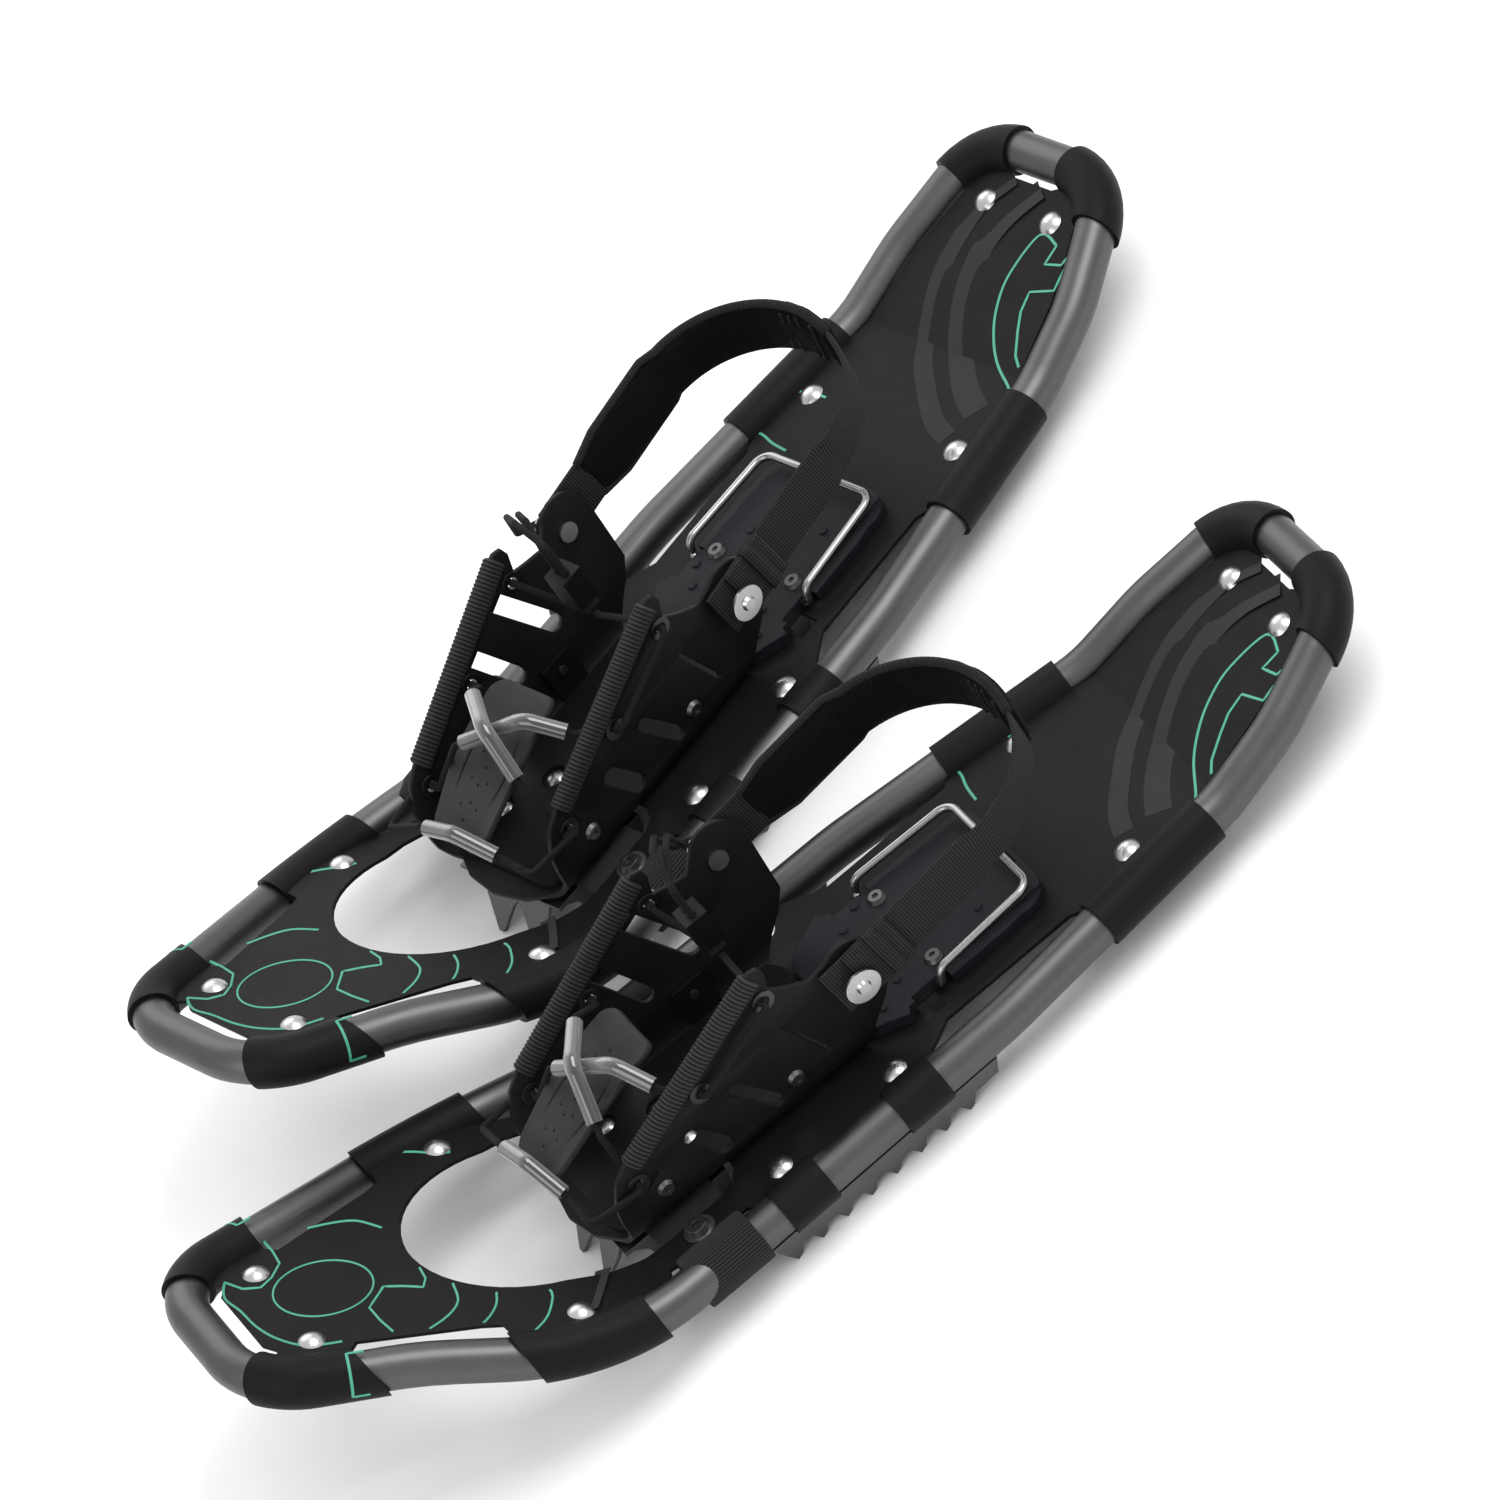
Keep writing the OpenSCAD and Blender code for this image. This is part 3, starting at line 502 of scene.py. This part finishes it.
def build_tapes(side):
    """Ridged rolls along the top of both wings, with their ends drawn in."""
    pitch, depth = 1.8, 0.5
    top, low = Vector((27.5, 79.5)), Vector((111, 41.3))
    length = (top - low).length
    inward = Vector((-(top - low).y, (top - low).x)).normalized()
    if inward.y > 0:
        inward = -inward
    steps = int(length / pitch) * 4
    for s, label in ((1, "left"), (-1, "right")):
        rings = []
        for i in range(steps + 1):
            t = i / steps
            ridge = depth * (0.5 + 0.5 * math.cos(2 * math.pi * t * length / pitch))
            end = min(1.0, min(t, 1 - t) * length / 1.5 + 0.55)
            place = low + (top - low) * t
            ring = []
            for across, out in oval(9.6, 6.6, 2.6, 20):
                swell = end * (1 + ridge / 4)
                at = place + inward * (2.6 + across * swell)
                ring.append(on_wing(s, at.x, at.y, out * swell))
            rings.append(ring)
        swept(side, f"edge_tape_{label}", rings, "tape", "binding", ("edge_tapes",))


# ---- heel strap, with its padded sleeve ----

STRAP_R = 48.9                       # middle of the strap's thickness, round the heel
STRAP_W = 24.0
WEBBING_T = 1.9
BEND_X = -80.0                       # where the straight sides end
NEAR_Z, FAR_Z = 43.0, 60.0           # the strap's height at its left and right rivets
SLOPE = math.radians(6.8)            # each side rises towards the back
ROLL = math.atan2(FAR_Z - NEAR_Z, 2 * (STRAP_R - 1))
HEEL_PAD_W = 31.0


def heel_line(step=3.0):
    """Centre line of the heel strap from the left rivet to the right, with its width direction."""
    points, widths = [], []
    leg = [i * step for i in range(int(-BEND_X / step) + 1)]
    for back in leg:
        points.append(Vector((-back * math.cos(SLOPE), STRAP_R, NEAR_Z + back * math.sin(SLOPE))))
        widths.append(Vector((math.sin(SLOPE), 0, math.cos(SLOPE))))
    middle = Vector((BEND_X, 0, (NEAR_Z + FAR_Z) / 2 - BEND_X * math.sin(SLOPE)))
    turns = int(math.pi * STRAP_R / step)
    for i in range(1, turns):
        t = math.pi / 2 + math.pi * i / turns
        y = STRAP_R * math.sin(t)
        points.append(middle + Vector((STRAP_R * math.cos(t), y * math.cos(ROLL),
                                       -y * math.sin(ROLL))))
        widths.append(Vector((0, math.sin(ROLL), math.cos(ROLL))))
    for back in reversed(leg):
        points.append(Vector((-back * math.cos(SLOPE), -STRAP_R, FAR_Z + back * math.sin(SLOPE))))
        widths.append(Vector((math.sin(SLOPE), 0, math.cos(SLOPE))))
    return points, widths


def shifted(line, out):
    """The same line moved away from the heel, square to the strap's face."""
    points, widths = line
    moved = []
    for i, (p, w) in enumerate(zip(points, widths)):
        ahead = points[min(i + 1, len(points) - 1)] - points[max(i - 1, 0)]
        moved.append(p + ahead.cross(w).normalized() * out)
    return moved, widths


def part_of(line, keep):
    """The stretch of a line whose points pass a test."""
    pairs = [(p, w) for p, w in zip(*line) if keep(p)]
    return [p for p, w in pairs], [w for p, w in pairs]


def build_heel_strap(side):
    """Webbing from rivet to rivet, with its left end turned back under a keeper."""
    line = heel_line()
    rings = along(*line, oval(STRAP_W, WEBBING_T, 9, 24))
    swept(side, "heel_webbing", rings, "webbing", "heel_strap", ("heel_strap",))
    fold = part_of(shifted(line, 1.95), lambda p: p.y > 0 and -38 < p.x < -11)
    rings = along(*fold, oval(STRAP_W + 0.8, WEBBING_T, 7, 24))
    swept(side, "heel_webbing_fold", rings, "webbing", "heel_strap")
    stitches(side, "heel_stitching", list(zip(*fold)))
    keeper = part_of(shifted(line, 1.4), lambda p: p.y > 0 and -31 < p.x < -23)
    rings = along(*keeper, oval(STRAP_W + 2.6, 5.8, 5, 24))
    swept(side, "heel_keeper", rings, "webbing", "heel_strap")


def stitches(side, name, line):
    """Two rows of thread across the folded end."""
    verts, faces = [], []
    for centre, width in (line[2], line[-3]):
        for k in range(-5, 6):
            base = centre + width.normalized() * (k * 1.9) + Vector((0, 1.0, 0))
            ring = [[base + width.normalized() * (u * 0.6) + Vector((0.22 * c, 0.22 * n, 0))
                     for c, n in ((1, 0), (0, 1), (-1, 0), (0, -1))] for u in (-1, 1)]
            new, quads = sweep(ring)
            faces += [tuple(i + len(verts) for i in q) for q in quads]
            verts += new
    piece(side, name, verts, faces, "thread", "heel_strap")


def inflate(obj, voxel, pressure, cap, frames=20):
    """Puffs a closed mesh up with cloth simulation and bakes the result into it."""
    remesh = obj.modifiers.new("remesh", "REMESH")
    remesh.mode = "VOXEL"
    remesh.voxel_size = voxel
    bpy.context.view_layer.objects.active = obj
    bpy.ops.object.select_all(action="DESELECT")
    obj.select_set(True)
    bpy.ops.object.modifier_apply(modifier="remesh")
    before = [v.co.copy() for v in obj.data.vertices]
    cloth = obj.modifiers.new("cloth", "CLOTH")
    cloth.settings.use_pressure = True
    cloth.settings.uniform_pressure_force = pressure
    cloth.settings.quality = 5
    cloth.settings.mass = 0.2
    cloth.settings.tension_stiffness = 20
    cloth.settings.compression_stiffness = 20
    cloth.settings.bending_stiffness = 0.3
    cloth.settings.effector_weights.gravity = 0
    scene = bpy.context.scene
    cloth.point_cache.frame_start = 1
    cloth.point_cache.frame_end = frames
    for number in range(1, frames + 1):
        scene.frame_set(number)
    shaped = obj.evaluated_get(bpy.context.evaluated_depsgraph_get()).to_mesh()
    moved = [v.co.copy() for v in shaped.vertices]
    obj.modifiers.remove(cloth)
    scene.frame_set(1)
    for vertex, old, new in zip(obj.data.vertices, before, moved):
        step = new - old
        if step.length > cap:
            step = step.normalized() * cap
        vertex.co = old + step
    smooth = obj.modifiers.new("smooth", "SUBSURF")
    smooth.levels = 1
    bpy.ops.object.modifier_apply(modifier="smooth")
    for polygon in obj.data.polygons:
        polygon.use_smooth = True


def build_heel_pad(side):
    """Padded sleeve round the right half of the strap, with piped edges and a gathered seam."""
    line = part_of(heel_line(), lambda p: p.x < -26 and p.y < 14)
    count = len(line[0])

    def spread(i):
        return 0.76 + 0.24 * min(1.0, min(i, count - 1 - i) / 5)

    def section(i):
        return oval(HEEL_PAD_W * spread(i), 5.0 * spread(i) + 1.2, 5, 20)

    pad = swept(side, "heel_pad", along(*line, section), "padding", "heel_strap",
                ("strap_sleeve",))
    inflate(pad, voxel=0.0023, pressure=3.0, cap=0.0025)
    for s, label in ((1, "upper"), (-1, "lower")):
        edge = [p + w.normalized() * s * (HEEL_PAD_W * spread(i) / 2 - 1.0)
                for i, (p, w) in enumerate(zip(*line))]
        rings = along(edge, line[1], oval(2.6, 4.4, 2, 10))
        swept(side, f"heel_piping_{label}", rings, "piping", "heel_strap")
    for k in range(4):
        gather(side, f"heel_gather_{k + 1}", line, 3 + 2 * k, HEEL_PAD_W * 0.82)


def gather(side, name, line, at, span):
    """One thread-drawn ridge across the padded sleeve's inner face."""
    points, widths = line
    ahead = (points[at + 1] - points[at - 1]).normalized()
    width = widths[at].normalized()
    inward = width.cross(ahead).normalized()
    count = 13
    ridge = []
    for i in range(count):
        t = i / (count - 1)
        bow = 3.2 + 0.5 * math.sin(math.pi * t)
        ridge.append(points[at] + width * span * (t - 0.5) + inward * bow
                     + ahead * 1.6 * math.sin(2.5 * t + at))
    rings = along(ridge, [ahead] * count, oval(1.5, 1.3, 2, 8))
    swept(side, name, rings, "piping", "heel_strap")


# ---- toe strap that the binding turns on ----

TUBE_R = 9.1
TUBE_Z = -3.2
TUBE_Y = 73.8 + 3 * (PIVOT.x + 48) / 148     # the tube tapers towards the rear
TOE_STRAP_W = 33.0
TOE_STRAP_T = 2.4


def build_toe_strap(side):
    """From the foot plate out under the deck, round the tube and back below itself."""
    wrap = TUBE_R + TOE_STRAP_T / 2 + 0.1
    for s, label in ((1, "left"), (-1, "right")):
        line = [(y, PIVOT.z) for y in range(0, 60, 3)]
        start = math.degrees(math.asin((PIVOT.z - TUBE_Z) / wrap)) + 180 - 32
        line += [(TUBE_Y + wrap * math.cos(math.radians(a)),
                  TUBE_Z + wrap * math.sin(math.radians(a)))
                 for a in range(int(start), -150, -10)]
        line += [(60, PIVOT.z - 3.6), (54, PIVOT.z - 2.7), (50, PIVOT.z - 2.6)]
        centres = [Vector((PIVOT.x, s * y, z)) for y, z in line]
        ahead = [Vector((1, 0, 0))] * len(centres)
        rings = along(centres, ahead, oval(TOE_STRAP_W, TOE_STRAP_T, 8, 20))
        obj = swept(side, f"toe_strap_{label}", rings, "webbing", None,
                    ("strap_centre", "strap_ends"))
        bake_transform(obj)


# ---- toe pad ----

PAD_AT = Vector((104, -2, 43))
PAD_TILT = math.radians(20)
PAD_HALF = 22.0


def build_toe_pad(side):
    """Moulded pad with a curled near edge, bowed slits and rows of holes."""
    outline = (arc2(25, 9, 9, -20, 75, 6) + [(0, PAD_HALF)] + arc2(-29, 13, 8, 95, 180, 5)
               + arc2(-29, -13, 8, 180, 265, 5) + [(0, -PAD_HALF)]
               + arc2(25, -9, 9, 285, 380, 6)[:-1])
    holes = []
    for v in (-10.5, 9.5):
        bow = [(u, v + math.copysign(3.5, v) * (1 - (u / 19) ** 2)) for u in range(-19, 20, 3)]
        holes.append([(u, w + 1.3 * (1 - (u / 21) ** 2)) for u, w in bow]
                     + [(u, w - 1.3 * (1 - (u / 21) ** 2)) for u, w in reversed(bow)])
    for u in range(-24, 25, 8):
        holes.append(arc2(u, 0, 1.3, 0, 330, 11))
    for u in range(-18, 19, 12):
        for v in (-5.5, 5):
            holes.append(arc2(u, v, 1.2, 0, 330, 11))
    made = flat_pattern(outline, holes, 1.7, edge=0.8)
    crease_lines(made, 0, range(-34, 34, 4))
    crease_lines(made, 1, range(-21, 22, 3))

    def shape(u, v, lift):
        curl = 0.045 * max(0.0, v - 11) ** 2 + 0.02 * max(0.0, -v - 13) ** 2
        lift += 1.4 - 0.004 * v * v - 0.0014 * u * u + curl
        x = u * math.cos(PAD_TILT) + lift * math.sin(PAD_TILT)
        z = -u * math.sin(PAD_TILT) + lift * math.cos(PAD_TILT)
        return (PAD_AT.x + x, PAD_AT.y + v * 0.97, PAD_AT.z + z)

    from_pattern(side, "toe_pad_moulded", made, shape, "pad_rubber", "binding", ("toe_pad",))


# ---- lines printed on the deck ----

RAMP_X, KICK_X = 124.7, -172.0       # where the nose and the tail start to rise
RAMP, KICK = math.tan(math.radians(26.7)), math.tan(math.radians(14.7))


def deck_z(x):
    """Height of the deck's top."""
    if x > RAMP_X:
        return (x - RAMP_X) * RAMP
    return (KICK_X - x) * KICK if x < KICK_X else 0.0


def smooth_line(line, closed, step=2.5):
    """Points about a step apart on a smooth curve through a line's points."""
    pts = [Vector(p) for p in line]
    count = len(pts)
    last = count if closed else count - 1
    dense = []
    for i in range(last):
        a, b = pts[i], pts[(i + 1) % count]
        before = pts[i - 1] if closed or i else a
        after = pts[(i + 2) % count] if closed or i + 2 < count else b
        steps = max(2, int((b - a).length / step))
        for k in range(steps):
            t = k / steps
            bend = 2 * before - 5 * a + 4 * b - after
            swing = 3 * a - before - 3 * b + after
            dense.append(0.5 * (2 * a + (b - before) * t + bend * t * t + swing * t ** 3))
    return dense if closed else dense + [pts[-1]]


def film_strip(side, name, points, normals, width, look, closed=False, film=0.16):
    """A thin printed film along 3-D points on a surface."""
    rings = []
    count = len(points)
    for i, (p, n) in enumerate(zip(points, normals)):
        before = points[i - 1] if i or closed else p
        after = points[(i + 1) % count] if i + 1 < count or closed else p
        across = (after - before).cross(n).normalized() * width / 2
        rings.append([p - across - n * 0.2, p - across + n * film, p + across + n * film,
                      p + across - n * 0.2])
    if closed:
        rings.append(rings[0])
    swept(side, name, rings, look, "frame", smooth=False)


def straight_line(line, steps=4):
    """Points along a line that keeps its corners."""
    pts = [Vector(p) for p in line]
    return [a + (b - a) * i / steps for a, b in zip(pts, pts[1:]) for i in range(steps)] + [pts[-1]]


def print_strip(side, name, line, width, look, closed=False, film=0.16, sharp=False):
    """A printed film that follows a plan line over the deck's top."""
    flat = straight_line(line) if sharp else smooth_line(line, closed)
    points = [Vector((p.x, p.y, deck_z(p.x))) for p in flat]
    film_strip(side, name, points, [Vector((0, 0, 1))] * len(points), width, look, closed, film)


NOSE_TUBE = (Vector((222, 59.5, 45)), Vector((280, 40.5, 74)))   # the tube inside a nose tab


def build_brackets(side):
    """A square bracket printed round each nose tab, near its rear edge."""
    start, end = NOSE_TUBE
    ahead = (end - start).normalized()
    wrap = TUBE_R + 1.8              # just over the tab's outer face
    places = [(22, -6), (29, -6), (29, 100), (22, 100)]
    dense = [(a[0] + (b[0] - a[0]) * i / 8, a[1] + (b[1] - a[1]) * i / 8)
             for a, b in zip(places, places[1:]) for i in range(8)] + [places[-1]]
    for s, label in ((1, "left"), (-1, "right")):
        flip = Vector((1, s, 1))
        up = (Vector((0, 0, 1)) - ahead * ahead.z).normalized()
        out = ahead.cross(up)
        if out.y < 0:
            out = -out
        points, normals = [], []
        for travel, angle in dense:
            turn = math.radians(angle)
            n = up * math.cos(turn) + out * math.sin(turn)
            points.append((start + ahead * travel + n * wrap) * flip)
            normals.append(n * flip)
        film_strip(side, f"print_bracket_{label}", points, normals, 1.2, "teal")


# plan points on the deck, in the shoe's own millimetres
TEAL_LINES = {
    "nose_edge": ((261, -28), (265, -18), (263.5, -7), (262.5, 7), (259, 19), (252, 29), (240, 34)),
    "toe_far": ((221, -44), (212, -42), (204, -38), (198, -28)),
    "toe_bow_a": ((191, 22), (194, 34), (201, 41), (210, 45)),
    "toe_bow_b": ((180, 37), (183, 44), (188, 50), (192, 53)),
    "wide_near": ((163, 47), (164, 52), (171, 63), (180, 70)),
    "wide_far": ((176, -74), (170, -71), (165, -67), (161, -63), (156, -61)),
    "tail_bow": ((-229, 31), (-231, 19), (-211, 14), (-196, 17), (-184, 24), (-174, 34),
                 (-166, 48), (-160, 56)),
    "tail_far_a": ((-126, -61), (-129, -54), (-131, -46), (-131, -38)),
    "tail_far_b": ((-104, -62), (-104, -54), (-102, -46), (-101, -36)),
    "mid_far": ((14, -63), (16, -56), (16, -48), (12, -42)),
}
TEAL_STEPS = {
    "nose_notch": ((238, -46), (238, -37), (239, -28), (245, -21), (251, -17), (257, -20),
                   (261, -28)),
    "toe_steps": ((197, 5), (198, 13), (201, 18), (207, 13), (213, 9), (223, 19), (223, 29),
                  (222, 39)),
    "tail_steps": ((-229, 31), (-220, 30), (-222, 39), (-229, 41), (-226, 41.5), (-211, 42.5),
                   (-207, 30), (-198, 31), (-190, 35), (-180, 41), (-176, 46)),
}
GREY_BANDS = {
    "outer_band": (((-250, -11), (-235, -21), (-215, -24), (-200, -23), (-182, -16), (-165, -6),
                    (-151, 9), (-139, 25), (-134, 38)), 9.0),
    "inner_band": (((-249, 6), (-233, -4), (-217, -8), (-200, -5), (-184, 3), (-170, 14),
                    (-158, 28), (-150, 42)), 12.0),
    "wide_stripe": (((141, 46), (145, 52), (151, 61), (156, 68)), 7.0),
}


def build_prints(side):
    """Generic teal lines, a plain ring at the nose and grey bands."""
    ring = arc2(232, -3, 18.5, 0, 354, 59)
    print_strip(side, "print_nose_ring", ring, 0.9, "teal", closed=True)
    for name, line in TEAL_LINES.items():
        print_strip(side, f"print_{name}", line, 1.2, "teal")
    for name, line in TEAL_STEPS.items():
        print_strip(side, f"print_{name}", line, 1.2, "teal", sharp=True)
    for name, (line, width) in GREY_BANDS.items():
        print_strip(side, f"print_{name}", line, width, "grey_print", film=0.1)


for side in SIDES:
    build_cradle(side)
    build_tapes(side)
    build_heel_strap(side)
    build_heel_pad(side)
    build_toe_strap(side)
    build_toe_pad(side)
    build_prints(side)
    build_brackets(side)


# ---- studio ----

def studio():
    """Nearly white floor, even white sky and three broad lamps."""
    scene = bpy.context.scene
    scene.view_settings.view_transform = "Standard"
    bpy.ops.mesh.primitive_plane_add(size=16, location=(0, 0, cad_bounds[0][2]))
    floor = bpy.context.object
    floor.name = "floor"
    s = Shader("floor_pale")
    s.finish(s.mix(s.noise(3), grey(0.88), grey(0.91)), 0.9, Specular_IOR_Level=0.1)
    floor.data.materials.append(s.material)
    world_data = bpy.data.worlds.new("studio")
    scene.world = world_data
    world_data.use_nodes = True
    background = world_data.node_tree.nodes["Background"]
    background.inputs["Color"].default_value = (1, 1, 1, 1)
    background.inputs["Strength"].default_value = 0.9
    for name, place, size, power in (("key", (-0.9, 0.5, 1.8), 1.2, 24),
                                     ("fill", (1.5, 0.9, 1.1), 1.2, 10),
                                     ("back", (-0.4, -1.6, 1.3), 1.6, 12)):
        light = bpy.data.lights.new(name, "AREA")
        light.size = size
        light.energy = power
        lamp = bpy.data.objects.new(name, light)
        lamp.location = place
        lamp.rotation_euler = (-Vector(place)).to_track_quat("-Z", "Y").to_euler()
        bpy.context.collection.objects.link(lamp)


def camera():
    """Looks down across the pair from the left, rolled so the shoes run corner to corner."""
    azimuth, elevation, roll = (math.radians(a) for a in (77.4, 40.2, -37.0))
    distance = 4.995
    aim = Vector((-0.0312, -0.0366, 0.027))
    away = Vector((math.cos(azimuth) * math.cos(elevation),
                   math.sin(azimuth) * math.cos(elevation), math.sin(elevation)))
    data = bpy.data.cameras.new("camera")
    data.lens = 288
    data.sensor_width = 36
    view = bpy.data.objects.new("camera", data)
    level = away.to_track_quat("Z", "Y").to_matrix().to_4x4()
    view.matrix_world = (Matrix.Translation(aim + away * distance) @ level
                         @ Matrix.Rotation(roll, 4, "Z"))
    bpy.context.collection.objects.link(view)
    bpy.context.scene.camera = view


studio()
camera()
